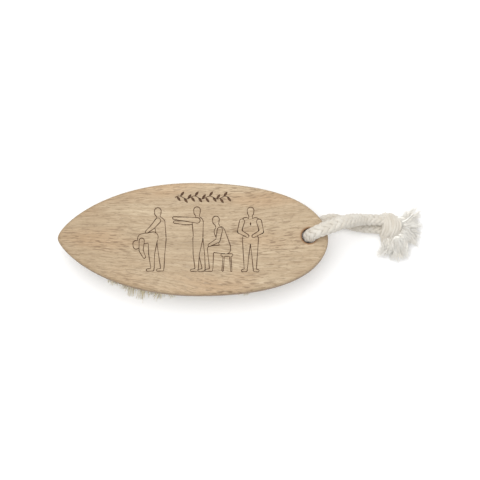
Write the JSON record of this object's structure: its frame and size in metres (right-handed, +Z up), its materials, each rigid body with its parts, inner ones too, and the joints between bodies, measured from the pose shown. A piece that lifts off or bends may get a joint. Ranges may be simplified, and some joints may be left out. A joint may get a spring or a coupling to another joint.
{
  "type": "massage brush",
  "caption": "Leaf-shaped wooden hand massage brush with rows of fibre tufts and a knotted braided cord loop.",
  "frame": {"origin": "on the floor under the middle of the board, the brush standing on its bristle tips", "axes": "+Z up out of the board's back, +X along the board towards the end with the cord, +Y across the board"},
  "size_m": [0.272, 0.0836, 0.0471],
  "materials": {
    "beech": "fine-sanded, unvarnished",
    "plant_fibre": "natural fibre, matt",
    "anchor_wire": "drawn flat wire",
    "cotton_cord": "braided cotton, matt"
  },
  "bodies": {
    "brush": {"board": "beech", "tuft_row_1": "plant_fibre", "tuft_row_2": "plant_fibre", "tuft_row_3": "plant_fibre", "tuft_row_4": "plant_fibre", "tuft_row_5": "plant_fibre", "tuft_row_6": "plant_fibre", "tuft_row_7": "plant_fibre", "tuft_row_8": "plant_fibre", "tuft_row_9": "plant_fibre", "anchor_row_1": "anchor_wire", "anchor_row_2": "anchor_wire", "anchor_row_3": "anchor_wire", "anchor_row_4": "anchor_wire", "anchor_row_5": "anchor_wire", "anchor_row_6": "anchor_wire", "anchor_row_7": "anchor_wire", "anchor_row_8": "anchor_wire", "anchor_row_9": "anchor_wire"},
    "cord_loop": {"cord_upper_strand": "cotton_cord", "cord_lower_strand": "cotton_cord", "cord_knot": "cotton_cord", "cord_tail_right": "cotton_cord", "cord_tail_lower": "cotton_cord"}
  },
  "joints": [
    {"name": "cord_swing", "type": "hinge", "parent": "brush", "child": "cord_loop", "pos_m": [0.0859, 0.0027, 0.027], "axis": [0, 0, 1], "range_deg": [-75, 75]}
  ]
}
